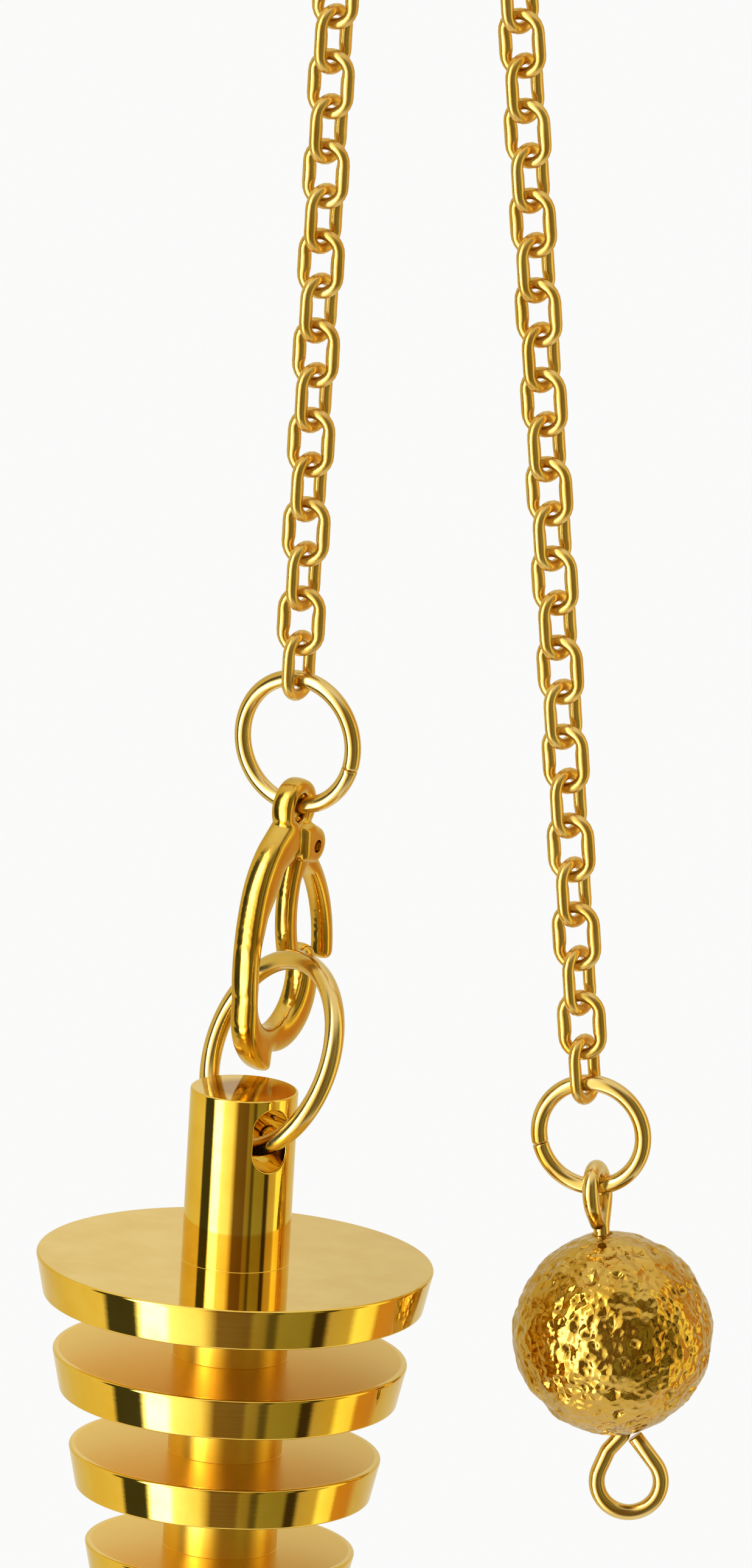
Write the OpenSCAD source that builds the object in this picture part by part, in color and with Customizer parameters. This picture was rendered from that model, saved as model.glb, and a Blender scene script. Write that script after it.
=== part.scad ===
// Dowsing pendulum on a short cable chain, hung by the crown of its folded chain.
// Millimetres. +Z is up, +X is to the right as the pendulum is seen from the front,
// +Y points away from the viewer. The origin is under the crown link, where it hangs.

/* [Chain] */
// Wire of a chain link
link_wire = 0.58; // [0.5:0.02:0.62]
// Outer length of a chain link
link_length = 3.5; // [3.4:0.02:3.8]
// Outer width of a chain link
link_width = 2.42; // [2.36:0.02:2.8]
// Swell of a link's long sides, towards the inside of the link
side_swell = 0.1; // [0.02:0.02:0.14]
// Play at each joint between two links
link_play = 0.135; // [0.125:0.005:0.18]
// Joints below the crown in the strand that holds the clasp
joints_left = 30; // [20:2:40]
// Joints below the crown in the strand that holds the ball
joints_right = 39; // [25:2:51]
// Lean of the ball's strand away from plumb
strand_lean = 6.57; // [0:0.5:9]
// Links below the crown over which each strand twists to its turn
twist_links = 14; // [8:1:18]
// Turn of the links that stand nearly edge-on
edge_turn = 48; // [44:1:56]
// Turn of the links between them, the other way
face_turn = 24; // [18:1:30]
// Further turn of the link that holds the clasp's jump ring
end_twist_left = 8; // [0:1:14]
// Further turn of the link that holds the ball's jump ring
end_twist_right = 12; // [0:1:20]
// Links over which a strand takes up its further turn
end_links = 8; // [4:1:12]

/* [Jump rings] */
// Wire of the clasp's jump ring and of the ball's jump ring
ring_wire = 0.8; // [0.6:0.05:0.85]
// Mean diameter of the clasp's jump ring
clasp_ring_d = 6.22; // [5.6:0.1:7.4]
// Turn of the clasp's jump ring from face-on
clasp_ring_turn = 31; // [20:1:40]
// Sideways swing of the clasp's jump ring from plumb
clasp_ring_swing = 2.8; // [0:0.2:4]
// Mean diameter of the ball's jump ring
ball_ring_d = 5.2; // [4.8:0.1:6.4]
// Turn of the ball's jump ring from face-on
ball_ring_turn = 15; // [8:1:30]
// Wire of the weight's jump ring
weight_ring_wire = 0.96; // [0.8:0.04:1.04]
// Mean diameter of the weight's jump ring
weight_ring_d = 9.3; // [8.7:0.1:9.6]
// Turn of the weight's jump ring, from front towards the right
weight_ring_turn = 34.5; // [31:0.5:38]
// Lean of the weight's jump ring from plumb
weight_ring_lean = 20.5; // [18:0.5:23]
// Place round the weight's jump ring where it passes the claw
claw_pass = 124; // [121:1:127]
// Cut where each jump ring was closed
ring_cut = 0.06; // [0.04:0.01:0.3]

/* [Clasp] */
// Thickness of the clasp's strap and claw
clasp_t = 1.3; // [1.1:0.1:1.7]
// Outer diameter of the eye
eye_d = 2.7; // [2.5:0.1:3.2]
// Thickness of the eye
eye_t = 1.0; // [0.8:0.1:1.4]
// Turn of the clasp from side-on
clasp_turn = 60; // [56:1:64]
// Backward lean of the clasp
clasp_lean = 6; // [4:1:7]
// Drop from the middle of the eye to the middle of the claw
claw_drop = 9.4; // [9.2:0.1:9.6]
// Outer radius of the claw
claw_r = 2.85; // [2.75:0.05:3]
// Radius of the claw's mouth
mouth_r = 2.1; // [1.9:0.05:2.2]
// Radius of the strap's foot, which ends in the heel under the claw
foot_r = 3.5; // [3.3:0.05:3.6]
// Radius of the strap's long back curve
back_r = 12.6; // [10:0.2:20]
// Radius of the strap's shoulder
shoulder_r = 5; // [4.6:0.1:5.6]
// Thickness of the lever
lever_t = 0.9; // [0.7:0.1:1]
// Wall of each ear that holds the lever's rivet
ear_wall = 0.4; // [0.3:0.05:0.5]
// Radius of the ears about the rivet
ear_r = 0.95; // [0.9:0.05:1.1]
// Width of the lever's gate arm
gate_w = 0.78; // [0.6:0.02:0.84]
// Width of the lever's thumb tab
tab_w = 0.75; // [0.5:0.05:0.85]
// Diameter of the lever's rivet
rivet_d = 0.6; // [0.5:0.05:0.7]
// Depth of the rivet's ends below the faces of the ears
rivet_sink = 0.15; // [0.05:0.05:0.2]

/* [Weight] */
// Diameter of the post
post_d = 5.2; // [4.9:0.1:5.4]
// Diameter of the core between the fins
core_d = 5.5; // [5.2:0.1:6]
// Height of the post above the top disc
post_height = 8.5; // [7:0.25:11]
// Width of the upright cross slot that the ring hangs in
cross_slot_w = 1.9; // [1.8:0.05:2.2]
// Depth of the slot's top edge below the top of the post
slot_cover = 0.5; // [0.3:0.05:0.7]
// Depth of the ring's own place in the slot below the top of the post
ring_depth = 2.35; // [2.3:0.05:3]
// Diameter of the top disc
disc_d = 19.2; // [15:0.2:24]
// Number of fins, the top disc with them
fins = 6; // [4:1:7]
// Height of one fin's rim
fin_t = 2.05; // [1.4:0.05:2.6]
// Height from one fin's top to the next one's top
fin_pitch = 4.75; // [4.4:0.05:5]
// Height of the whole cone from the top disc down to where its sides would meet
cone_height = 44.5; // [40:0.5:56]
// Chamfer on the edges of the fins and of the post
edge_break = 0.12; // [0.05:0.01:0.2]
// Radius of the rounded point
point_r = 0.35; // [0.2:0.05:0.6]

/* [Ball] */
// Diameter of the ball
ball_d = 10; // [8:0.25:14]
// Wire of the pin through the ball
pin_wire = 0.78; // [0.6:0.02:0.9]
// Mean diameter of the pin's upper loop
top_loop_d = 2.4; // [2.3:0.05:3]
// Mean diameter of the pin's lower loop
bottom_loop_d = 3.1; // [2.8:0.05:3.5]
// Lean of each leg of the pin's lower loop from the pin's own line
bottom_loop_lean = 30; // [26:1:34]
// Reach of the pin's straight stem out of the ball at each end
stem_reach = 0.25; // [0.25:0.05:0.6]
// Length of the pin's upper neck, from the stem to the middle of its loop
top_neck = 1.8; // [1.7:0.05:3]
// Length of the pin's lower neck, from the stem to the middle of its loop
bottom_neck = 2.2; // [2.1:0.05:2.5]
// Lean of the ball and its ring from plumb
ball_lean = 9.2; // [0:0.4:12]

/* [Clearances] */
// Gap between rings, loops and the eye where they hang in each other
hang_gap = 0.1; // [0.08:0.01:0.15]
// Gap between the ring's wire and the bottom of the cross slot
seat_gap = 0.3; // [0.12:0.02:0.34]
// Gap on each side of the lever in its slot
slot_gap = 0.1; // [0.06:0.01:0.15]
// Gap round the rivet in the lever
rivet_gap = 0.06; // [0.04:0.01:0.1]
// Gap round the rivet in the ears
ear_gap = 0.02; // [0.01:0.01:0.05]
// Gap round the pin in the ball's drilled hole
bore_gap = 0.11; // [0.06:0.01:0.2]

/* [Hidden] */
$fn = 48;
GOLD = [0.86, 0.63, 0.16];
DEEP_GOLD = [0.8, 0.56, 0.12];

// Chain: each link's bends have this mean radius, and the two reaches are measured from
// the middle of the link to the middle of its bend and to the middle of its end wire
bend_r = (link_width - link_wire) / 2;
end_reach = (link_length - link_wire) / 2;
bend_reach = end_reach - bend_r;
swell_reach = bend_reach - 1.5 * side_swell;
crown = [0, 0, link_wire / 2];
left_fall = 270;
left_shoulder = 225;
right_fall = 270 + strand_lean;
right_shoulder = 360 - (360 - right_fall) / 2;
function along(angle) = [cos(angle), 0, sin(angle)];
joint_slip = bend_r - link_wire - link_play;
pitch = link_length - 2 * link_wire - link_play;

// Middles of the two shoulder links and of the first link of each strand
function shoulder(side, angle) =
    crown + [side * end_reach, 0, 0] + (joint_slip + bend_reach) * along(angle);
function first_link(side, angle, fall) =
    shoulder(side, angle) + bend_reach * along(angle) + (joint_slip + end_reach) * along(fall);
left_first = first_link(-1, left_shoulder, left_fall);
right_first = first_link(1, right_shoulder, right_fall);
left_end = left_first + joints_left * pitch * along(left_fall);
right_end = right_first + joints_right * pitch * along(right_fall);

// Turn of a link about its strand: links at even places stand edge-on at the crown and links
// at odd places face the front, and both twist into the turns that they keep lower down
function twist(i) = min(1, i / twist_links);
function end_twist(i, joints, turn) = turn * max(0, 1 - (joints - i) / end_links);
function left_turn(i) = end_twist(i, joints_left, end_twist_left)
    + (i % 2 == 0 ? 90 + (edge_turn - 90) * twist(i) : -face_turn * twist(i));
function right_turn(i) = end_twist(i, joints_right, end_twist_right)
    + (i % 2 == 0 ? 90 + (90 - face_turn) * twist(i) : edge_turn * twist(i));

// Jump rings
wire_seat = link_wire / 2 + ring_wire / 2 + hang_gap;
clasp_ring_top = left_end + (end_reach - wire_seat) * along(left_fall);
clasp_ring_at = clasp_ring_top
    + clasp_ring_d / 2 * [sin(clasp_ring_swing), 0, -cos(clasp_ring_swing)];
ball_ring_top = right_end + (end_reach - wire_seat) * along(right_fall);
ball_axis = [sin(ball_lean), 0, -cos(ball_lean)];

// Clasp: its own frame has its origin in the middle of the eye, X towards the thumb tab
eye_hole_d = ring_wire + 2 * hang_gap + 0.36;
eye_rise = pow(eye_t / 2, 2) / clasp_ring_d + eye_t / 2 * tan(clasp_lean);
eye_slip = (eye_hole_d - ring_wire) / 2 - hang_gap - eye_rise;
clasp_at = clasp_ring_at - [0, 0, clasp_ring_d / 2 + eye_slip];
claw_mid = [-0.6, -claw_drop];
mouth_mid = claw_mid + [-0.6, 0.55];
foot_mid = claw_mid + [0, -0.35];
foot_back = foot_mid[0] - foot_r;
back_mid = [foot_back - 0.12 + back_r, claw_mid[1] + 2.15];
back_top = 163.7;
shoulder_mid = back_mid + (back_r - shoulder_r) * [cos(back_top), sin(back_top)];
pivot = [0.75, -2.05];
ear_t = lever_t + 2 * slot_gap + 2 * ear_wall;
slot_w = lever_t + 2 * slot_gap;
hub_r = ear_r - 0.2;
tip_y = claw_mid[1] + 1.35;
tip_out = claw_mid[0] + sqrt(pow(claw_r, 2) - pow(tip_y - claw_mid[1], 2));
tip_in = mouth_mid[0] + sqrt(pow(mouth_r, 2) - pow(tip_y - mouth_mid[1], 2));
gate_end = [tip_in - gate_w / 2 - slot_gap, tip_y + 0.2];
gate_top = pivot + [-0.2, -0.35];
gate_bow = 0.6;
tab_end = [gate_end[0] + 3.12, tip_y - 0.3];
tab_r = 8;
function arc(middle, r, from, to, steps) =
    [for (i = [0 : steps]) middle + r * [cos(from + (to - from) * i / steps),
        sin(from + (to - from) * i / steps)]];
function turn_z(a, v) = [v[0] * cos(a) - v[1] * sin(a), v[0] * sin(a) + v[1] * cos(a), v[2]];
function turn_x(a, v) = [v[0], v[1] * cos(a) - v[2] * sin(a), v[1] * sin(a) + v[2] * cos(a)];
function clasp_point(p) = clasp_at + turn_x(clasp_lean, turn_z(clasp_turn, [p[0], 0, p[1]]));

// Weight ring: its wire passes the middle plane of the clasp at this point of the mouth
pass_point = clasp_point(mouth_mid + [-0.34, 1.14]);
weight_ring_r = weight_ring_d / 2;
hole_axis = [sin(weight_ring_turn), -cos(weight_ring_turn), 0];
ring_up = [cos(weight_ring_turn) * sin(weight_ring_lean),
    sin(weight_ring_turn) * sin(weight_ring_lean), cos(weight_ring_lean)];
weight_ring_at = pass_point
    - weight_ring_r * (cos(claw_pass) * hole_axis + sin(claw_pass) * ring_up);
ring_sag = weight_ring_r - sqrt(weight_ring_r * weight_ring_r - post_d * post_d / 4);
ring_slant = asin(post_d / 2 / weight_ring_r);
reach_up = ring_sag / 2 + weight_ring_wire / 2 / cos(ring_slant);
reach_down = ring_sag / 2 + weight_ring_wire / 2;
hole_at = weight_ring_at
    - (weight_ring_r - ring_sag / 2 - (reach_up - reach_down) / 2) * ring_up;
slot_low = -(reach_up + reach_down) / 2 - seat_gap + cross_slot_w / 2;
slot_high = ring_depth - slot_cover - cross_slot_w / 2;

// Weight: heights are measured down from the top disc
disc_r = disc_d / 2;
function cone_r(depth) = disc_r * (1 - depth / cone_height);
disc_at = hole_at + [0, 0, ring_depth - post_height];
tip_from = fins * fin_pitch;
tip_slope = disc_r / cone_height;
point_at = cone_height - point_r * sqrt(1 + 1 / (tip_slope * tip_slope));

// Ball: distances run down the ball's own axis from the top of its jump ring, and the pin's
// stem is a little thicker than its wire
stem_d = 1.06 * pin_wire;
top_loop_at = ball_ring_d - ring_wire / 2 - pin_wire / 2 - hang_gap + top_loop_d / 2;
ball_at = top_loop_at + top_neck + stem_reach + ball_d / 2;
bottom_loop_at = ball_at + ball_d / 2 + stem_reach + bottom_neck;

// One oval link of round wire, its length along Z and its width along X
module oval_link() {
    for (end = [1, -1])
        translate([0, 0, end * bend_reach])
            rotate([90, 0, 0])
                rotate([0, 0, end > 0 ? 0 : 180])
                    rotate_extrude(angle = 180)
                        translate([bend_r, 0])
                            circle(d = link_wire);
    for (side = [1, -1]) {
        translate([side * bend_r, 0, -bend_reach])
            cylinder(h = 2 * bend_reach, d = link_wire);
        translate([side * (bend_r - side_swell), 0, -swell_reach])
            cylinder(h = 2 * swell_reach, d = link_wire);
        for (end = [1, -1])
            translate([side * (bend_r - side_swell), 0, end * swell_reach])
                sphere(d = link_wire);
    }
}

// A link in place: its middle, the way the chain runs through it, and its turn about that way
module placed_link(middle, angle, turn) {
    translate(middle)
        rotate([0, 270 - angle, 0])
            rotate([0, 0, turn])
                oval_link();
}

// The crown link lies level with its flat side up
module chain_left() {
    color(GOLD) {
        placed_link(crown, 180, 90);
        placed_link(shoulder(-1, left_shoulder), left_shoulder, 0);
        for (i = [0 : joints_left])
            placed_link(left_first + i * pitch * along(left_fall), left_fall, left_turn(i));
    }
}

module chain_right() {
    color(GOLD) {
        placed_link(shoulder(1, right_shoulder), right_shoulder, 0);
        for (i = [0 : joints_right])
            placed_link(right_first + i * pitch * along(right_fall), right_fall, right_turn(i));
    }
}

// A jump ring that faces the front, with its cut at the given place round it
module jump_ring(mean_d, wire, cut_at) {
    cut_angle = ring_cut / (PI * mean_d) * 360;
    rotate([90, 0, 0])
        rotate([0, 0, cut_at + cut_angle / 2])
            rotate_extrude(angle = 360 - cut_angle)
                translate([mean_d / 2, 0])
                    circle(d = wire);
}

module clasp_ring() {
    color(GOLD)
        translate(clasp_ring_at)
            rotate([0, 0, -clasp_ring_turn])
                jump_ring(clasp_ring_d, ring_wire, 345);
}

module ball_ring() {
    color(GOLD)
        translate(ball_ring_top)
            rotate([0, -ball_lean, 0])
                rotate([0, 0, -ball_ring_turn])
                    translate([0, 0, -ball_ring_d / 2])
                        jump_ring(ball_ring_d, ring_wire, 187);
}

module weight_ring() {
    color(GOLD)
        translate(weight_ring_at)
            rotate([0, 0, weight_ring_turn - 90])
                rotate([-weight_ring_lean, 0, 0])
                    jump_ring(weight_ring_d, weight_ring_wire, 262);
}

// Everything of the clasp is drawn side-on in the XZ plane and carried to its place
module at_clasp() {
    translate(clasp_at)
        rotate([clasp_lean, 0, 0])
            rotate([0, 0, clasp_turn])
                children();
}

module side_on(thickness) {
    rotate([90, 0, 0])
        translate([0, 0, -thickness / 2])
            linear_extrude(thickness)
                children();
}

// Strap and claw in one line: down the back, round the foot to the heel, round the claw to
// its tip, back round the mouth and up the inside of the strap to the neck
heel = 246;
tip_r = (tip_out - tip_in) / 2;
inner_x = mouth_mid[0] - mouth_r;
claw_tip_turn = asin((tip_y - claw_mid[1]) / claw_r);
mouth_tip_turn = asin((tip_y - mouth_mid[1]) / mouth_r);
function body_outline() = concat(
    [[0.9, -0.4], [-1.0, -0.5]],
    arc(shoulder_mid, shoulder_r, 131, back_top, 12),
    arc(back_mid, back_r, back_top + 1, 188, 16),
    arc(foot_mid, foot_r, 180, heel, 16),
    [foot_mid + foot_r * [cos(heel), sin(heel)] + [0.22, 0.12]],
    arc(claw_mid, claw_r, heel + 1, 360 + claw_tip_turn, 26),
    arc([tip_out - tip_r, tip_y], tip_r, 10, 170, 8),
    arc(mouth_mid, mouth_r, mouth_tip_turn, -180, 30),
    [[inner_x, mouth_mid[1] + 2], [inner_x + 0.12, -6.1], [inner_x + 0.55, -4.85],
        [-1.75, -3.55], [-1.45, -2.9], [-0.6, -2.5], [0.3, -2.3]]);

module ears_outline() {
    polygon([[-0.3, -0.9], [0.6, -0.85], pivot + ear_r * [cos(55), sin(55)], pivot,
        [pivot[0], pivot[1] - ear_r], [-0.3, -2.6]]);
    translate(pivot)
        circle(r = ear_r);
}

// Room for the lever between the ears, open below and to the right
module slot_outline() {
    translate(pivot)
        circle(r = hub_r + slot_gap);
    translate([pivot[0] - hub_r - slot_gap - 0.25, pivot[1] - 1.6])
        square([4, 1.6]);
    translate(pivot)
        square([2, hub_r + slot_gap]);
}

module clasp_body() {
    color(GOLD)
        at_clasp()
            difference() {
                union() {
                    side_on(eye_t)
                        circle(d = eye_d);
                    side_on(clasp_t)
                        polygon(body_outline());
                    side_on(ear_t)
                        ears_outline();
                }
                side_on(3 * clasp_t)
                    circle(d = eye_hole_d);
                side_on(slot_w)
                    slot_outline();
                side_on(3 * clasp_t)
                    translate(pivot)
                        circle(d = rivet_d + 2 * ear_gap);
            }
}

// Lever in one line: over the hub, down the gate arm's left side, up its right side to the
// crotch, and down and up the thumb tab
gate_run = norm(gate_end - gate_top);
gate_r = (gate_run * gate_run / 4 + gate_bow * gate_bow) / (2 * gate_bow);
gate_way = (gate_end - gate_top) / gate_run;
gate_mid = (gate_top + gate_end) / 2 + (gate_r - gate_bow) * [-gate_way[1], gate_way[0]];
gate_half = asin(gate_run / 2 / gate_r);
gate_turn = atan2(-gate_way[0], gate_way[1]);
tab_mid = tab_end - [tab_r, 0];
crotch = pivot + [0.1, -1.2];
tab_root = 43;
function lever_outline() = concat(
    arc(pivot, hub_r, -15, 195, 20),
    arc(gate_mid, gate_r + gate_w / 2, gate_turn - gate_half + 4, gate_turn + gate_half, 14),
    arc(gate_end, gate_w / 2, gate_turn + gate_half + 20, gate_turn + gate_half + 160, 8),
    arc(gate_mid, gate_r - gate_w / 2, gate_turn + gate_half, gate_turn - gate_half + 13, 12),
    [crotch],
    arc(tab_mid, tab_r - tab_w / 2, tab_root - 7, 0, 14),
    arc(tab_end, tab_w / 2, 200, 340, 8),
    arc(tab_mid, tab_r + tab_w / 2, 0, tab_root, 14));

module clasp_lever() {
    color(DEEP_GOLD)
        at_clasp()
            difference() {
                side_on(lever_t)
                    polygon(lever_outline());
                side_on(2 * lever_t)
                    translate(pivot)
                        circle(d = rivet_d + 2 * rivet_gap);
            }
}

module clasp_rivet() {
    color(DEEP_GOLD)
        at_clasp()
            side_on(ear_t - 2 * rivet_sink)
                translate(pivot)
                    circle(d = rivet_d);
}

// One fin's rim in the turned outline, from its top edge down to its lower edge
function rim(depth) = [
    [cone_r(depth) - edge_break, -depth],
    [cone_r(depth), -depth - edge_break],
    [cone_r(depth + fin_t), -depth - fin_t + edge_break],
    [cone_r(depth + fin_t) - edge_break, -depth - fin_t],
    [core_d / 2, -depth - fin_t],
    [core_d / 2, -depth - fin_pitch]];
function lathe_outline() = concat(
    [[0, post_height], [post_d / 2 - edge_break, post_height],
        [post_d / 2, post_height - edge_break], [post_d / 2, 0]],
    [for (i = [0 : fins - 1]) each rim(i * fin_pitch)],
    [[cone_r(tip_from) - edge_break, -tip_from], [cone_r(tip_from), -tip_from - edge_break],
        [point_r * cos(atan(tip_slope)), -point_at - point_r * sin(atan(tip_slope))],
        [0, -point_at - point_r * sin(atan(tip_slope))]]);

// Upright slot with round ends, across its own axis
module cross_slot() {
    for (end = [slot_low, slot_high])
        translate([0, end])
            circle(d = cross_slot_w);
    translate([-cross_slot_w / 2, slot_low])
        square([cross_slot_w, slot_high - slot_low]);
}

module weight() {
    color(GOLD)
        difference() {
            translate(disc_at) {
                rotate_extrude($fn = 96)
                    polygon(lathe_outline());
                translate([0, 0, -point_at])
                    sphere(r = point_r);
            }
            translate(hole_at)
                rotate([90, 0, weight_ring_turn])
                    translate([0, 0, -post_d])
                        linear_extrude(2 * post_d)
                            cross_slot();
        }
}

// Everything of the ball hangs down its own axis from the top of its jump ring
module at_ball(distance) {
    translate(ball_ring_top + distance * ball_axis)
        rotate([0, -ball_lean, 0])
            children();
}

// A loop turned in wire, with its two leaning legs ending level with the stem's end
module wire_loop(mean_d, neck, lean) {
    leg = (neck - mean_d / 2 * sin(lean)) / cos(lean);
    rotate([90, 0, 0])
        rotate([0, 0, 180 - lean])
            rotate_extrude(angle = 180 + 2 * lean)
                translate([mean_d / 2, 0])
                    circle(d = pin_wire);
    for (side = [1, -1])
        rotate([0, side * (90 - lean), 0])
            translate([0, 0, mean_d / 2])
                rotate([0, -side * 90, 0])
                    cylinder(h = leg, d = pin_wire);
}

module ball_pin() {
    color(GOLD) {
        at_ball(ball_at)
            cylinder(h = ball_d + 2 * stem_reach + 0.8 * pin_wire, d = stem_d, center = true);
        at_ball(top_loop_at)
            rotate([180, 0, 90 - ball_ring_turn])
                wire_loop(top_loop_d, top_neck, asin(top_loop_d / 2 / top_neck));
        at_ball(bottom_loop_at)
            wire_loop(bottom_loop_d, bottom_neck, bottom_loop_lean);
    }
}

module ball_bead() {
    color(DEEP_GOLD)
        at_ball(ball_at)
            difference() {
                sphere(d = ball_d, $fn = 96);
                cylinder(h = 2 * ball_d, d = stem_d + 2 * bore_gap, center = true);
            }
}

chain_left();
chain_right();
clasp_ring();
clasp_body();
clasp_lever();
clasp_rivet();
weight_ring();
weight();
ball_ring();
ball_pin();
ball_bead();
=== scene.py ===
"""A dowsing pendulum in yellow plated metal, hanging from the crown of its folded chain.

Lengths named at the top are in millimetres and angles in degrees. piece() turns both into a mesh
in metres. The front of the pendulum faces -Y.
"""

import math

import bmesh
import bpy
import numpy as np
from mathutils import Matrix, Vector, noise


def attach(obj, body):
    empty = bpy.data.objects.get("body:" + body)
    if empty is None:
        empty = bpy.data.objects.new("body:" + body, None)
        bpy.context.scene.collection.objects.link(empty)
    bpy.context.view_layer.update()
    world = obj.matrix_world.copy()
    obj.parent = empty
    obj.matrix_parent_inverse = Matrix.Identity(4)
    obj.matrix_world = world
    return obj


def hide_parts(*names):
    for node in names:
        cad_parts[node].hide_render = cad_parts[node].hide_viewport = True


MM = 0.001

# Camera: the height of the photograph's frame at the distance of the pendulum
FRAME_H = 75.32
AIM = (1.65, 0.0, -74.09)
LOOK_DOWN = 14.2
CAMERA_ROLL = 3.2
CAMERA_AWAY = 1500.0

# Chain of oval links in round wire
LINK_WIRE = 0.58
LINK_LENGTH = 3.5
LINK_WIDTH = 2.42
LINK_PLAY = 0.135
JOINTS_LEFT = 30
JOINTS_RIGHT = 39
STRAND_LEAN = 6.57
TWIST_LINKS = 14
EDGE_TURN = 48
FACE_TURN = 24
END_TWIST_LEFT = 8
END_TWIST_RIGHT = 12
END_LINKS = 8
LEFT_SHOULDER = 225
SIDE_SWELL = 0.1

# Jump rings
RING_WIRE = 0.8
RING_CUT = 0.06
CLASP_RING_D = 6.22
CLASP_RING_TURN = 31
CLASP_RING_SWING = 2.8
BALL_RING_D = 5.2
BALL_RING_TURN = 15
WEIGHT_RING_WIRE = 0.96
WEIGHT_RING_D = 9.3
WEIGHT_RING_TURN = 34.5
WEIGHT_RING_LEAN = 20.5
CLAW_PASS = 124
HANG_GAP = 0.1

# Clasp, drawn side-on with its origin in the middle of the eye
CLASP_T = 1.3
CLASP_TURN = 60
CLASP_LEAN = 6
EYE_D = 2.7
EYE_T = 1.0
EYE_HOLE_D = 1.36
CLAW_DROP = 9.4
CLAW_R = 2.85
MOUTH_R = 2.1
FOOT_R = 3.5
BACK_R = 12.6
SHOULDER_R = 5
HEEL = 246
LEVER_T = 0.9
SLOT_GAP = 0.1
EAR_WALL = 0.4
EAR_R = 0.95
GATE_W = 0.78
GATE_BOW = 0.6
TAB_W = 0.75
TAB_R = 8
TAB_ROOT = 43
RIVET_D = 0.6
RIVET_GAP = 0.06
RIVET_SINK = 0.15
EAR_GAP = 0.02
CAST_GRID = 0.05
CAST_FILL = 0.055
CAST_SOFTENING = 16
DOME_GRID = 0.07
DOME_FULLNESS = 3.2
STRAP_DOME = 0.8
EAR_DOME = 0.4

# Weight: heights run up from the top disc
POST_D = 5.2
CORE_D = 5.5
POST_HEIGHT = 8.5
RING_DEPTH = 2.35
SEAT_GAP = 0.3
CROSS_SLOT_W = 1.9
SLOT_COVER = 0.5
DISC_D = 19.2
FINS = 6
FIN_T = 2.05
FIN_PITCH = 4.75
CONE_HEIGHT = 44.5
EDGE_BREAK = 0.12
SLOT_EDGE = 0.09
FOOT_ROUND = 0.03
POINT_R = 0.35

# Ball on its pin: distances run down the ball's own axis from the top of its jump ring
BALL_D = 10
BALL_LEAN = 9.2
PIN_WIRE = 0.78
STEM_D = 0.83
TOP_LOOP_D = 2.4
BOTTOM_LOOP_D = 3.1
BOTTOM_LOOP_LEAN = 30
STEM_REACH = 0.25
TOP_NECK = 1.8
BOTTOM_NECK = 2.2
BORE_GAP = 0.11


def cosd(angle):
    return math.cos(math.radians(angle))


def sind(angle):
    return math.sin(math.radians(angle))


def turn_about(axis, angle):
    return Matrix.Rotation(math.radians(angle), 4, axis)


def moved_to(point):
    return Matrix.Translation(Vector(point))


# Camera
def photo_camera():
    """A long lens that looks down at the pendulum and is rolled a little, as in the photograph."""
    camera = bpy.data.objects.new("camera", bpy.data.cameras.new("camera"))
    bpy.context.scene.collection.objects.link(camera)
    bpy.context.scene.camera = camera
    camera.data.sensor_fit = "VERTICAL"
    camera.data.sensor_height = 36.0
    camera.data.lens = camera.data.sensor_height * CAMERA_AWAY / FRAME_H
    camera.data.clip_start = 0.01
    camera.data.clip_end = 20.0
    aim = (
        moved_to(Vector(AIM) * MM)
        @ turn_about("X", 90 - LOOK_DOWN)
        @ turn_about("Z", CAMERA_ROLL)
    )
    camera.matrix_world = aim @ moved_to((0, 0, CAMERA_AWAY * MM))


# Mesh making
def piece(name, points, faces, place=None, normals=None):
    """One object from points in millimetres, moved to its place. Its mesh holds the place."""
    turn = np.array((place or Matrix.Identity(4)).to_3x3())
    shift = np.array((place or Matrix.Identity(4)).translation)
    spots = (np.array([tuple(p) for p in points], float) @ turn.T + shift) * MM
    mesh = bpy.data.meshes.new(name)
    mesh.from_pydata(spots.tolist(), [], faces)
    face_outward(mesh)
    for face in mesh.polygons:
        face.use_smooth = True
    if normals is not None:
        outward = np.array([tuple(n) for n in normals], float) @ turn.T
        mesh.normals_split_custom_set_from_vertices(outward.tolist())
    made = bpy.data.objects.new(name, mesh)
    bpy.context.scene.collection.objects.link(made)
    return made


def face_outward(mesh):
    """Turns every face of the closed shells so that it faces outward."""
    shape = bmesh.new()
    shape.from_mesh(mesh)
    bmesh.ops.recalc_face_normals(shape, faces=shape.faces)
    shape.to_mesh(mesh)
    shape.free()


def carried(made, body, slot, material, *nodes):
    """The piece gets its material, rides on its body and stands for its CAD nodes."""
    made.data.materials.clear()
    made.data.materials.append(material)
    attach(made, body)
    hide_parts(*nodes)
    return made


def arc(middle, radius, start, end, steps):
    """Points along an arc in a plane, from one angle to another."""
    angles = np.radians(np.linspace(start, end, steps + 1))
    return [np.array(middle) + radius * np.array([np.cos(a), np.sin(a)]) for a in angles]


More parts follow.
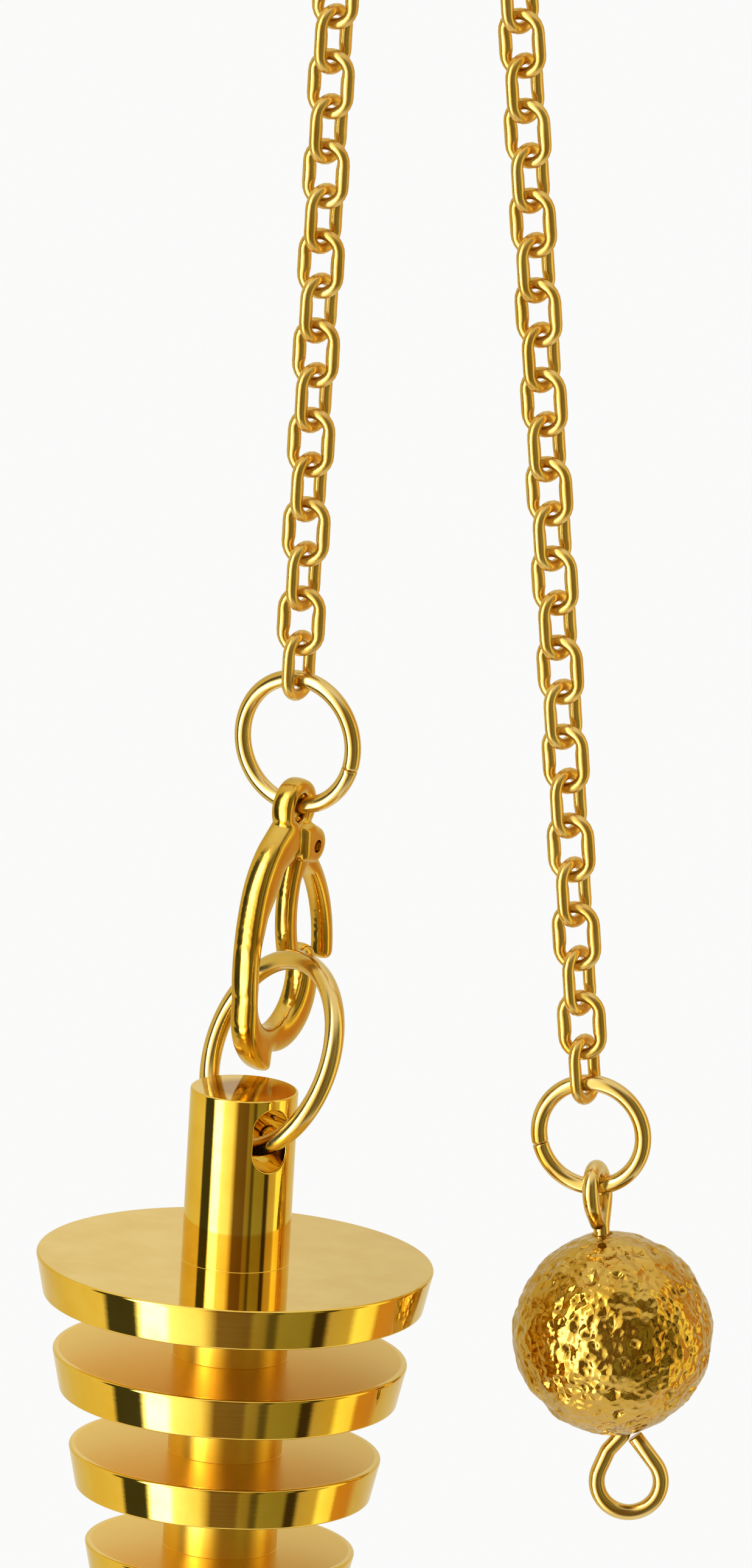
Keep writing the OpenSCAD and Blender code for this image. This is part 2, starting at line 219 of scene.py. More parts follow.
def rounded(corners, radii, steps=5):
    """A path with its inner corners rounded: (point, tangent) pairs, in two or three dimensions."""
    corners = [np.array(c, float) for c in corners]
    path = []
    for i, corner in enumerate(corners):
        if i == 0 or i == len(corners) - 1:
            other = corners[1] if i == 0 else corners[-2]
            way = (other - corner) if i == 0 else (corner - other)
            path.append((corner, way / np.linalg.norm(way)))
            continue
        before = corner - corners[i - 1]
        after = corners[i + 1] - corner
        before = before / np.linalg.norm(before)
        after = after / np.linalg.norm(after)
        turn = math.acos(np.clip(before @ after, -1, 1))
        if turn < 1e-4:
            path.append((corner, before))
            continue
        back = radii[i] * math.tan(turn / 2)
        inward = after - before * (before @ after)
        inward = inward / np.linalg.norm(inward)
        start = corner - back * before
        for step in range(steps + 1):
            a = turn * step / steps
            point = start + radii[i] * (math.sin(a) * before + (1 - math.cos(a)) * inward)
            path.append((point, math.cos(a) * before + math.sin(a) * inward))
    return path


CUT_EDGE = 0.08


def wire(path, radii, side, sides, closed=False):
    """A round wire swept along a path. An open wire has two flat cut ends, whose soft edges take
    a share of its radius."""
    path = [np.array(p, float) for p in path]
    radii = list(radii)
    count = len(path)
    if closed:
        ways = [path[(i + 1) % count] - path[i - 1] for i in range(count)]
    else:
        ways = [path[min(i + 1, count - 1)] - path[max(i - 1, 0)] for i in range(count)]
    ways = [w / np.linalg.norm(w) for w in ways]
    if not closed:
        edge = CUT_EDGE * radii[0]
        path = [path[0], path[0] + edge * ways[0], *path[1:-1], path[-1] - edge * ways[-1], path[-1]]
        radii = [radii[0] - edge, radii[0], *radii[1:-1], radii[-1], radii[-1] - edge]
        ways = [ways[0], ways[0], *ways[1:-1], ways[-1], ways[-1]]
    across = np.array(side, float)
    points, faces = [], []
    for at, way, radius in zip(path, ways, radii):
        across = across - way * (across @ way)
        across = across / np.linalg.norm(across)
        third = np.cross(way, across)
        for k in range(sides):
            a = 2 * math.pi * k / sides
            points.append(at + radius * (math.cos(a) * across + math.sin(a) * third))
    rings = len(path)
    for i in range(rings if closed else rings - 1):
        for k in range(sides):
            a, b = i * sides, (i + 1) % rings * sides
            l = (k + 1) % sides
            faces.append((a + k, a + l, b + l, b + k))
    if not closed:
        faces.append(tuple(range(sides - 1, -1, -1)))
        faces.append(tuple((rings - 1) * sides + k for k in range(sides)))
    return points, faces


def joined(parts):
    """Several (points, faces) shells as one."""
    points, faces = [], []
    for more_points, more_faces in parts:
        start = len(points)
        points.extend(more_points)
        faces.extend(tuple(start + i for i in face) for face in more_faces)
    return points, faces


def carry(shell, place):
    """A shell moved to its place, in millimetres."""
    points, faces = shell
    turn = np.array(place.to_3x3())
    shift = np.array(place.translation)
    return [turn @ np.array(p) + shift for p in points], faces


# Chain
BEND_R = (LINK_WIDTH - LINK_WIRE) / 2
END_REACH = (LINK_LENGTH - LINK_WIRE) / 2
BEND_REACH = END_REACH - BEND_R
JOINT_SLIP = BEND_R - LINK_WIRE - LINK_PLAY
PITCH = LINK_LENGTH - 2 * LINK_WIRE - LINK_PLAY
CROWN = np.array([0, 0, LINK_WIRE / 2])
LEFT_FALL = 270
RIGHT_FALL = 270 + STRAND_LEAN
RIGHT_SHOULDER = 360 - (360 - RIGHT_FALL) / 2


def along(angle):
    return np.array([cosd(angle), 0, sind(angle)])


def shoulder(side, angle):
    return CROWN + np.array([side * END_REACH, 0, 0]) + (JOINT_SLIP + BEND_REACH) * along(angle)


def first_link(side, angle, fall):
    return shoulder(side, angle) + BEND_REACH * along(angle) + (JOINT_SLIP + END_REACH) * along(fall)


LEFT_FIRST = first_link(-1, LEFT_SHOULDER, LEFT_FALL)
RIGHT_FIRST = first_link(1, RIGHT_SHOULDER, RIGHT_FALL)
LEFT_END = LEFT_FIRST + JOINTS_LEFT * PITCH * along(LEFT_FALL)
RIGHT_END = RIGHT_FIRST + JOINTS_RIGHT * PITCH * along(RIGHT_FALL)


def twist(i):
    return min(1, i / TWIST_LINKS)


def end_twist(i, joints, turn):
    return turn * max(0, 1 - (joints - i) / END_LINKS)


def left_turn(i):
    base = 90 + (EDGE_TURN - 90) * twist(i) if i % 2 == 0 else -FACE_TURN * twist(i)
    return end_twist(i, JOINTS_LEFT, END_TWIST_LEFT) + base


def right_turn(i):
    base = 90 + (90 - FACE_TURN) * twist(i) if i % 2 == 0 else EDGE_TURN * twist(i)
    return end_twist(i, JOINTS_RIGHT, END_TWIST_RIGHT) + base


LINK_SIDES = 16
BEND_STEPS = 12
SWELL_RUN = 0.5


def oval_link():
    """One link, its length along Z. Its long sides swell a little towards its inside."""
    path = [(x, BEND_REACH + z) for x, z in arc((0, 0), BEND_R, 0, 180, BEND_STEPS)]
    path += [(-BEND_R, BEND_REACH * share) for share in (0.6, 0.2, -0.2, -0.6)]
    path += [(x, z - BEND_REACH) for x, z in arc((0, 0), BEND_R, 180, 360, BEND_STEPS)]
    path += [(BEND_R, BEND_REACH * share) for share in (-0.6, -0.2, 0.2, 0.6)]
    runs = [(BEND_REACH + SWELL_RUN / 2 - abs(z)) / SWELL_RUN for _, z in path]
    swells = [SIDE_SWELL / 2 * np.clip(run, 0, 1) for run in runs]
    radii = [LINK_WIRE / 2 + swell for swell in swells]
    path = [(x - swell * x / BEND_R, 0, z) for (x, z), swell in zip(path, swells)]
    points, faces = wire(path, radii, (0, 1, 0), LINK_SIDES, closed=True)
    flat = [p * [1, LINK_WIRE / 2 / radii[i // LINK_SIDES], 1] for i, p in enumerate(points)]
    return flat, faces


def link_place(middle, angle, turn):
    return moved_to(middle) @ turn_about("Y", 270 - angle) @ turn_about("Z", turn)


def strand(name, places):
    link = oval_link()
    points, faces = joined(carry(link, place) for place in places)
    return piece(name, points, faces)


def left_strand():
    places = [
        link_place(CROWN, 180, 90),
        link_place(shoulder(-1, LEFT_SHOULDER), LEFT_SHOULDER, 0),
    ]
    places += [
        link_place(LEFT_FIRST + i * PITCH * along(LEFT_FALL), LEFT_FALL, left_turn(i))
        for i in range(JOINTS_LEFT + 1)
    ]
    return strand("left_chain_links", places)


def right_strand():
    places = [link_place(shoulder(1, RIGHT_SHOULDER), RIGHT_SHOULDER, 0)]
    places += [
        link_place(RIGHT_FIRST + i * PITCH * along(RIGHT_FALL), RIGHT_FALL, right_turn(i))
        for i in range(JOINTS_RIGHT + 1)
    ]
    return strand("right_chain_links", places)


# Places of the rings, the clasp and the weight
WIRE_SEAT = LINK_WIRE / 2 + RING_WIRE / 2 + HANG_GAP
CLASP_RING_TOP = LEFT_END + (END_REACH - WIRE_SEAT) * along(LEFT_FALL)
CLASP_RING_AT = CLASP_RING_TOP + CLASP_RING_D / 2 * np.array(
    [sind(CLASP_RING_SWING), 0, -cosd(CLASP_RING_SWING)]
)
BALL_RING_TOP = RIGHT_END + (END_REACH - WIRE_SEAT) * along(RIGHT_FALL)
BALL_AXIS = np.array([sind(BALL_LEAN), 0, -cosd(BALL_LEAN)])
EYE_RISE = (EYE_T / 2) ** 2 / CLASP_RING_D + EYE_T / 2 * math.tan(math.radians(CLASP_LEAN))
EYE_SLIP = (EYE_HOLE_D - RING_WIRE) / 2 - HANG_GAP - EYE_RISE
CLASP_PLACE = (
    moved_to(CLASP_RING_AT - np.array([0, 0, CLASP_RING_D / 2 + EYE_SLIP]))
    @ turn_about("X", CLASP_LEAN)
    @ turn_about("Z", CLASP_TURN)
)
CLAW_MID = np.array([-0.6, -CLAW_DROP])
MOUTH_MID = CLAW_MID + [-0.6, 0.55]
PASS_POINT = np.array(CLASP_PLACE @ Vector((MOUTH_MID[0] - 0.34, 0, MOUTH_MID[1] + 1.14)))
WEIGHT_RING_R = WEIGHT_RING_D / 2
HOLE_AXIS = np.array([sind(WEIGHT_RING_TURN), -cosd(WEIGHT_RING_TURN), 0])
RING_UP = np.array([
    cosd(WEIGHT_RING_TURN) * sind(WEIGHT_RING_LEAN),
    sind(WEIGHT_RING_TURN) * sind(WEIGHT_RING_LEAN),
    cosd(WEIGHT_RING_LEAN),
])
WEIGHT_RING_AT = PASS_POINT - WEIGHT_RING_R * (
    cosd(CLAW_PASS) * HOLE_AXIS + sind(CLAW_PASS) * RING_UP
)
RING_SAG = WEIGHT_RING_R - math.sqrt(WEIGHT_RING_R**2 - POST_D**2 / 4)
RING_SLANT = math.asin(POST_D / 2 / WEIGHT_RING_R)
REACH_UP = RING_SAG / 2 + WEIGHT_RING_WIRE / 2 / math.cos(RING_SLANT)
REACH_DOWN = RING_SAG / 2 + WEIGHT_RING_WIRE / 2
HOLE_AT = WEIGHT_RING_AT - (WEIGHT_RING_R - RING_SAG / 2 - (REACH_UP - REACH_DOWN) / 2) * RING_UP
SLOT_R = CROSS_SLOT_W / 2
SLOT_LOW = -(REACH_UP + REACH_DOWN) / 2 - SEAT_GAP + SLOT_R
SLOT_HIGH = RING_DEPTH - SLOT_COVER - SLOT_R
DISC_AT = HOLE_AT + np.array([0, 0, RING_DEPTH - POST_HEIGHT])


RING_STEPS = 120
RING_SIDES = 24


def jump_ring(name, mean_d, wire_d, cut_at, place):
    """A ring of round wire that faces the front, with a hairline cut at the given place."""
    half_cut = RING_CUT / (math.pi * mean_d) * 180
    path = [
        (x, 0, z)
        for x, z in arc((0, 0), mean_d / 2, cut_at + half_cut, cut_at + 360 - half_cut, RING_STEPS)
    ]
    points, faces = wire(path, [wire_d / 2] * len(path), (0, 1, 0), RING_SIDES)
    return piece(name, points, faces, place)


def clasp_jump_ring():
    place = moved_to(CLASP_RING_AT) @ turn_about("Z", -CLASP_RING_TURN)
    return jump_ring("clasp_jump_ring", CLASP_RING_D, RING_WIRE, 345, place)


def ball_jump_ring():
    place = (
        moved_to(BALL_RING_TOP)
        @ turn_about("Y", -BALL_LEAN)
        @ turn_about("Z", -BALL_RING_TURN)
        @ moved_to((0, 0, -BALL_RING_D / 2))
    )
    return jump_ring("ball_jump_ring", BALL_RING_D, RING_WIRE, 187, place)


def weight_jump_ring():
    place = (
        moved_to(WEIGHT_RING_AT)
        @ turn_about("Z", WEIGHT_RING_TURN - 90)
        @ turn_about("X", -WEIGHT_RING_LEAN)
    )
    return jump_ring("weight_jump_ring", WEIGHT_RING_D, WEIGHT_RING_WIRE, 262, place)


# Clasp
TIP_Y = CLAW_MID[1] + 1.35
TIP_OUT = CLAW_MID[0] + math.sqrt(CLAW_R**2 - (TIP_Y - CLAW_MID[1]) ** 2)
TIP_IN = MOUTH_MID[0] + math.sqrt(MOUTH_R**2 - (TIP_Y - MOUTH_MID[1]) ** 2)
PIVOT = np.array([0.75, -2.05])
EAR_T = LEVER_T + 2 * SLOT_GAP + 2 * EAR_WALL
HUB_R = EAR_R - 0.2


def strap_and_claw():
    """Side-on outline: down the back, round the foot to the heel, round the claw to its tip,
    back round the mouth and up the inside of the strap to the neck."""
    foot_mid = CLAW_MID + [0, -0.35]
    back_mid = np.array([foot_mid[0] - FOOT_R - 0.12 + BACK_R, CLAW_MID[1] + 2.15])
    back_top = 163.7
    shoulder_mid = back_mid + (BACK_R - SHOULDER_R) * np.array([cosd(back_top), sind(back_top)])
    claw_turn = math.degrees(math.asin((TIP_Y - CLAW_MID[1]) / CLAW_R))
    mouth_turn = math.degrees(math.asin((TIP_Y - MOUTH_MID[1]) / MOUTH_R))
    tip_r = (TIP_OUT - TIP_IN) / 2
    inner = MOUTH_MID[0] - MOUTH_R
    return [
        (0.9, -0.4), (-1.0, -0.5),
        *arc(shoulder_mid, SHOULDER_R, 131, back_top, 16),
        *arc(back_mid, BACK_R, back_top + 1, 188, 24),
        *arc(foot_mid, FOOT_R, 180, HEEL, 24),
        foot_mid + FOOT_R * np.array([cosd(HEEL), sind(HEEL)]) + [0.22, 0.12],
        *arc(CLAW_MID, CLAW_R, HEEL + 1, 360 + claw_turn, 40),
        *arc((TIP_OUT - tip_r, TIP_Y), tip_r, 10, 170, 10),
        *arc(MOUTH_MID, MOUTH_R, mouth_turn, -180, 48),
        (inner, MOUTH_MID[1] + 2), (inner + 0.12, -6.1), (inner + 0.55, -4.85),
        (-1.75, -3.55), (-1.45, -2.9), (-0.6, -2.5), (0.3, -2.3),
    ]


def ears():
    return [(-0.3, -0.9), (0.6, -0.85), *arc(PIVOT, EAR_R, 55, -90, 18), (-0.3, -2.6)]


def lever_outline():
    """Over the hub, down the gate arm's left side, up its right side to the crotch, and down
    and up the thumb tab."""
    gate_end = np.array([TIP_IN - GATE_W / 2 - SLOT_GAP, TIP_Y + 0.2])
    gate_top = PIVOT + [-0.2, -0.35]
    run = np.linalg.norm(gate_end - gate_top)
    gate_r = (run**2 / 4 + GATE_BOW**2) / (2 * GATE_BOW)
    way = (gate_end - gate_top) / run
    gate_mid = (gate_top + gate_end) / 2 + (gate_r - GATE_BOW) * np.array([-way[1], way[0]])
    half = math.degrees(math.asin(run / 2 / gate_r))
    middle = math.degrees(math.atan2(-way[0], way[1]))
    tab_end = np.array([gate_end[0] + 3.12, TIP_Y - 0.3])
    tab_mid = tab_end - [TAB_R, 0]
    return [
        *arc(PIVOT, HUB_R, -15, 195, 28),
        *arc(gate_mid, gate_r + GATE_W / 2, middle - half + 4, middle + half, 24),
        *arc(gate_end, GATE_W / 2, middle + half + 20, middle + half + 160, 10),
        *arc(gate_mid, gate_r - GATE_W / 2, middle + half, middle - half + 13, 22),
        PIVOT + [0.1, -1.2],
        *arc(tab_mid, TAB_R - TAB_W / 2, TAB_ROOT - 7, 0, 24),
        *arc(tab_end, TAB_W / 2, 200, 340, 10),
        *arc(tab_mid, TAB_R + TAB_W / 2, 0, TAB_ROOT, 24),
    ]


def slab(outline, thickness):
    """A side-on outline with a thickness, as a closed shell."""
    count = len(outline)
    points = [(x, y, z) for y in (-thickness / 2, thickness / 2) for x, z in outline]
    faces = [tuple(range(count)), tuple(range(2 * count - 1, count - 1, -1))]
    for i in range(count):
        j = (i + 1) % count
        faces.append((j, i, count + i, count + j))
    return points, faces


def peg(middle, radius, length):
    return slab(arc(middle, radius, 0, 360 - 7.5, 47), length)


def edge_depth(outline, spots):
    """How deep each spot lies inside a side-on outline, negative outside it, and the nearest
    point of the outline."""
    corners = np.array([tuple(p) for p in outline], float)
    least = np.full(len(spots), np.inf)
    nearest = np.zeros_like(spots)
    inside = np.zeros(len(spots), bool)
    for a, b in zip(corners, np.roll(corners, -1, axis=0)):
        way = b - a
        share = np.clip((spots - a) @ way / (way @ way), 0, 1)
        foot = a + share[:, None] * way
        far = np.hypot(*(spots - foot).T)
        closer = far < least
        least[closer] = far[closer]
        nearest[closer] = foot[closer]
        level = np.flatnonzero((a[1] > spots[:, 1]) != (b[1] > spots[:, 1]))
        if len(level):
            crossing = a[0] + (spots[level, 1] - a[1]) / way[1] * way[0]
            inside[level] ^= spots[level, 0] < crossing
    return np.where(inside, least, -least), nearest


def domed(shapes, hole=None):
    """A shell that swells from nothing at its side-on outlines. Each shape is an outline with
    its full half thickness and the depth inside its edge where it gets there."""
    ends = np.array([tuple(p) for outline, _, _ in shapes for p in outline])
    low, high = ends.min(axis=0) - DOME_GRID, ends.max(axis=0) + 2 * DOME_GRID
    xs, zs = np.arange(low[0], high[0], DOME_GRID), np.arange(low[1], high[1], DOME_GRID)
    spots = np.array([(x, z) for x in xs for z in zs])
    height = np.zeros(len(spots))
    depth = np.full(len(spots), -np.inf)
    foot = spots.copy()
    for outline, half, dome in shapes:
        deep, near = edge_depth(outline, spots)
        if hole is not None:
            into, rim = edge_depth(hole, spots)
            cut = -into < deep
            deep[cut], near[cut] = -into[cut], rim[cut]
        fall = (1 - np.clip(deep / dome, 0, 1)) ** DOME_FULLNESS
        height = np.maximum(height, half * (1 - fall) ** (1 / DOME_FULLNESS))
        closer = deep > depth
        depth[closer], foot[closer] = deep[closer], near[closer]
    inside = depth > 0
    points, faces, upper, lower = [], [], {}, {}

    def corner(k, side):
        known = upper if side > 0 else lower
        if k not in known:
            known[k] = len(points)
            if not inside[k]:
                upper[k] = lower[k] = len(points)
            x, z = spots[k] if inside[k] else foot[k]
            points.append((x, side * height[k] if inside[k] else 0, z))
        return known[k]

    rows = len(zs)
    for i in range(len(xs) - 1):
        for j in range(rows - 1):
            cell = (i * rows + j, (i + 1) * rows + j, (i + 1) * rows + j + 1, i * rows + j + 1)
            if any(inside[k] for k in cell):
                faces.append(tuple(corner(k, -1) for k in cell))
                faces.append(tuple(corner(k, 1) for k in reversed(cell)))
    return points, faces


def cast(name, shells, sawn):
    """Shells melted into one soft-edged casting. What is sawn out afterwards keeps crisp edges."""
    block = piece(name, *joined(shells))
    grid = block.modifiers.new("grid", "REMESH")
    grid.mode = "VOXEL"
    grid.voxel_size = CAST_GRID * MM
    soft = block.modifiers.new("soften", "SMOOTH")
    soft.iterations = CAST_SOFTENING
    soft.factor = 0.5
    full = block.modifiers.new("fill out", "DISPLACE")
    full.strength = CAST_FILL * MM
    full.mid_level = 0
    apply_modifiers(block)
    cut_out(block, sawn)
    for face in block.data.polygons:
        face.use_smooth = True
    block.data.set_sharp_from_angle(angle=math.radians(35))
    spot = CLASP_PLACE.copy()
    spot.translation *= MM
    block.data.transform(spot)
    return block


def cut_out(block, cuts):
    for cut in cuts:
        cutter = piece("cutter", *cut)
        boolean = block.modifiers.new("cut", "BOOLEAN")
        boolean.operation = "DIFFERENCE"
        boolean.solver = "EXACT"
        boolean.use_self = True
        boolean.object = cutter
        apply_modifiers(block)
        bpy.data.objects.remove(cutter)


def apply_modifiers(made):
    """The mesh as its modifiers leave it takes the place of the plain one."""
    ready = made.evaluated_get(bpy.context.evaluated_depsgraph_get())
    mesh = bpy.data.meshes.new_from_object(ready)
    made.modifiers.clear()
    made.data = mesh


def clasp_casting():
    slot_r = HUB_R + SLOT_GAP
    left, low = PIVOT[0] - slot_r - 0.25, PIVOT[1] - 1.6
    slot = [(left, low), (left + 4, low), (left + 4, PIVOT[1]), (PIVOT[0] + 2, PIVOT[1] + slot_r)]
    slot += [*arc(PIVOT, slot_r, 90, 180, 14), (left, PIVOT[1])]
    slot_w = LEVER_T + 2 * SLOT_GAP
    eye_reach = (EYE_D - EYE_HOLE_D) / 4
    shapes = [
        (arc((0, 0), EYE_D / 2, 0, 352.5, 47), EYE_T / 2, eye_reach),
        (strap_and_claw(), CLASP_T / 2, STRAP_DOME),
        (ears(), EAR_T / 2, EAR_DOME),
    ]
    return cast(
        "clasp_casting",
        [domed(shapes, arc((0, 0), EYE_HOLE_D / 2, 0, 352.5, 47))],
        [slab(slot, slot_w), peg(PIVOT, RIVET_D / 2 + EAR_GAP, 3 * CLASP_T)],
    )


def clasp_gate():
    hole = peg(PIVOT, RIVET_D / 2 + RIVET_GAP, 2 * LEVER_T)
    return cast("clasp_gate", [domed([(lever_outline(), LEVER_T / 2, GATE_W / 2)])], [hole])


def rivet():
    """A short pin whose slightly domed ends lie a little below the ears' faces."""
    dome = 0.1
    half = EAR_T / 2 - RIVET_SINK
    outline = rounded(
        [(0, half), (RIVET_D / 2 - dome, half - 0.02), (RIVET_D / 2, half - dome),
         (RIVET_D / 2, dome - half), (RIVET_D / 2 - dome, 0.02 - half), (0, -half)],
        [0, 0.15, 0.12, 0.12, 0.15, 0],
    )
    points, faces, normals = lathe(outline, 32)
    lying = turn_about("X", 90)
    place = CLASP_PLACE @ moved_to((PIVOT[0], 0, PIVOT[1])) @ lying
    return piece("clasp_rivet_pin", points, faces, place, normals)


# Turned weight
def lathe(outline, turns, skip=()):
    """Turns (point, tangent) pairs, given from the top of the axis to its foot, about Z.
    Faces whose (row, column) is in skip are left open."""
    rows = outline[1:-1]
    points = [(0, 0, outline[0][0][1])]
    normals = [(0, 0, 1)]
    for (radius, height), (out, down) in rows:
        for k in range(turns):
            c, s = math.cos(2 * math.pi * k / turns), math.sin(2 * math.pi * k / turns)
            points.append((radius * c, radius * s, height))
            normals.append((-down * c, -down * s, out))
    foot = len(points)
    points.append((0, 0, outline[-1][0][1]))
    normals.append((0, 0, -1))
    faces = []
    for k in range(turns):
        l = (k + 1) % turns
        faces.append((0, 1 + k, 1 + l))
        last = 1 + (len(rows) - 1) * turns
        faces.append((foot, last + l, last + k))
        for i in range(len(rows) - 1):
            if (i, k) not in skip:
                a, b = 1 + i * turns, 1 + (i + 1) * turns
                faces.append((a + k, b + k, b + l, a + l))
    return points, faces, normals


def cone_r(depth):
    return DISC_D / 2 * (1 - depth / CONE_HEIGHT)


WEIGHT_TURNS = 128
FIELD_COLUMNS = 10
FIELD_ROWS = 20
FIELD_MARGIN = 0.27
FIELD_REACH = (SLOT_HIGH - SLOT_LOW) / 2 + SLOT_R + FIELD_MARGIN
FIELD_AT = POST_HEIGHT - RING_DEPTH + (SLOT_HIGH + SLOT_LOW) / 2
FIELD_RINGS = 6
EDGE_RINGS = 5


def weight_outline():
    """Post, fins and point, from the top of the axis to the tip, with broken edges. The post's
    wall has rows across the field of its cross slot."""
    post_r = POST_D / 2
    corners = [((0, POST_HEIGHT), 0), ((post_r, POST_HEIGHT), EDGE_BREAK)]
    for i in range(FIELD_ROWS + 1):
        corners.append(((post_r, FIELD_AT + FIELD_REACH * (1 - 2 * i / FIELD_ROWS)), 0))
    corners.append(((post_r, 0), FOOT_ROUND))
    for fin in range(FINS):
        top = fin * FIN_PITCH
        corners += [
            ((cone_r(top), -top), EDGE_BREAK),
            ((cone_r(top + FIN_T), -top - FIN_T), EDGE_BREAK),
            ((CORE_D / 2, -top - FIN_T), FOOT_ROUND),
            ((CORE_D / 2, -top - FIN_PITCH), FOOT_ROUND),
        ]
    top = FINS * FIN_PITCH
    slope = DISC_D / 2 / CONE_HEIGHT
    low = CONE_HEIGHT - POINT_R * (math.sqrt(1 + 1 / slope**2) - 1)
    corners += [((cone_r(top), -top), EDGE_BREAK), ((cone_r(low), -low), POINT_R), ((0, -low), 0)]
    return rounded([c for c, _ in corners], [r for _, r in corners])


def slot_patch(rows, side):
    """The rings of points from the field's border to the slot's soft edge, on one side of the
    post, each with its normal. The slot runs along X."""
    c = FIELD_COLUMNS
    border = [(rows[0], k) for k in range(-c, c)]
    border += [(row, c) for row in rows[:-1]]
    border += [(rows[-1], k) for k in range(c, -c, -1)]
    border += [(row, -c) for row in rows[:0:-1]]
    spokes = []
    for (_, height), column in border:
        t = POST_D / 2 * math.sin(2 * math.pi * column / WEIGHT_TURNS)
        w = height - POST_HEIGHT + RING_DEPTH
        middle = min(SLOT_HIGH, max(SLOT_LOW, w))
        spokes.append((middle, math.atan2(w - middle, t), math.hypot(t, w - middle)))
    steps = []
    for k in range(1, FIELD_RINGS + 1):
        share = k / FIELD_RINGS
        steps.append([(out + (SLOT_R + SLOT_EDGE - out) * share, 0) for _, _, out in spokes])
    for k in range(1, EDGE_RINGS + 1):
        bend = 90 * k / EDGE_RINGS
        steps.append([(SLOT_R + SLOT_EDGE * (1 - sind(bend)), bend)] * len(spokes))
    rings = [
        [wall_point(middle, reach, angle, bend, side)
         for (middle, angle, _), (reach, bend) in zip(spokes, step)]
        for step in steps
    ]
    return border, rings


def wall_point(middle, reach, angle, bend, side):
    """A point on the post's wall beside the cross slot, sunk as its edge bends inward."""
    t, w = reach * math.cos(angle), middle + reach * math.sin(angle)
    depth = math.sqrt((POST_D / 2) ** 2 - t * t)
    sunk = SLOT_EDGE * (1 - cosd(bend))
    wall = np.array([side * depth, t, 0]) / (POST_D / 2)
    inward = np.array([0, -math.cos(angle), -math.sin(angle)])
    point = (side * (depth - sunk), t, w + POST_HEIGHT - RING_DEPTH)
    return point, cosd(bend) * wall + sind(bend) * inward


def turned_weight():
    outline = weight_outline()
    rows = outline[1:-1]
    top = min(range(len(rows)), key=lambda i: abs(rows[i][0][1] - FIELD_AT - FIELD_REACH))
    c, turns = FIELD_COLUMNS, WEIGHT_TURNS
    skip = set()
    for row in range(top, top + FIELD_ROWS):
        for k in range(-c, c):
            skip.add((row, k % turns))
            skip.add((row, (k + turns // 2) % turns))
    points, faces, normals = lathe(outline, turns, skip)
    field = [(row, rows[row][0][1]) for row in range(top, top + FIELD_ROWS + 1)]
    inner = []
    for side in (1, -1):
        border, rings = slot_patch(field, side)
        last = []
        for (row, _), column in border:
            around = column if side > 0 else turns // 2 - column
            last.append(1 + row * turns + around % turns)
        for ring in rings:
            start = len(points)
            points += [p for p, _ in ring]
            normals += [n for _, n in ring]
            faces += band(last, [start + i for i in range(len(ring))])
            last = [start + i for i in range(len(ring))]
        inner.append(last)
    faces += band(inner[0], inner[1])
    place = moved_to(DISC_AT) @ turn_about("Z", WEIGHT_RING_TURN - 90)
    return piece("turned_weight", points, faces, place, normals)


def band(outer, inner):
    """Faces between two closed rings of points."""
    count = len(outer)
    return [(outer[i], outer[(i + 1) % count], inner[(i + 1) % count], inner[i]) for i in range(count)]


# Ball and pin
TOP_LOOP_AT = BALL_RING_D - RING_WIRE / 2 - PIN_WIRE / 2 - HANG_GAP + TOP_LOOP_D / 2
BALL_AT = TOP_LOOP_AT + TOP_NECK + STEM_REACH + BALL_D / 2
BALL_PLACE = moved_to(BALL_RING_TOP + BALL_AT * BALL_AXIS) @ turn_about("Y", -BALL_LEAN)


def upper_loop():
    """From the stem up one leg, round, and back down to the wire's cut end beside the stem.
    z = 0 is the stem's end, and the loop is drawn upside down."""
    radius = TOP_LOOP_D / 2
    lean = math.degrees(math.asin(radius / TOP_NECK))
    spare = 0.5 * PIN_WIRE / cosd(lean) + 0.02
    ring = arc((0, -TOP_NECK), radius, 360 + lean, 180 - lean, 40)
    return [(0, 0), *ring, (-cosd(lean) * spare, -sind(lean) * spare)]


def lower_loop():
    """From the wire's cut end beside the ball, down the right leg, round and up the left leg,
    and in two easy bends to the stem's line. z = 0 is the stem's end."""
    radius = BOTTOM_LOOP_D / 2
    slant = math.tan(math.radians(BOTTOM_LOOP_LEAN))
    leg_top = radius / cosd(BOTTOM_LOOP_LEAN) - BOTTOM_NECK * slant
    ring = arc((0, -BOTTOM_NECK), radius, BOTTOM_LOOP_LEAN, -180 - BOTTOM_LOOP_LEAN, 40)
    return [(leg_top, 0), *ring, (-leg_top - 0.55 * slant, -0.55), (0, 0.2)]


def pin_wire():
    """One length of wire: the lower loop, the stem through the ball and the upper loop."""
    reach = BALL_D / 2 + STEM_REACH
    low = [np.array((x, 0, z - reach)) for x, z in lower_loop()]
    turn = np.array((turn_about("Z", 90 - BALL_RING_TURN) @ turn_about("X", 180)).to_3x3())
    high = [turn @ np.array((x, 0, z)) + [0, 0, reach] for x, z in upper_loop()]
    corners = low + high
    radii = [0.0] * len(corners)
    for bend in (len(low) - 2, len(low) - 1, len(low)):
        radii[bend] = 0.5
    path = softened(corners, radii)
    points, faces = wire(path, [PIN_WIRE / 2] * len(path), (0, 1, 0), 20)
    return piece("pin_wire", points, faces, BALL_PLACE)


def softened(corners, radii):
    """A path with only the corners rounded that have a radius."""
    kept = []
    for i, radius in enumerate(radii):
        if radius:
            bent = rounded([corners[i - 1], corners[i], corners[i + 1]], [0, radius, 0])
            kept += [point for point, _ in bent[1:-1]]
        else:
            kept.append(np.array(corners[i], float))
    return kept


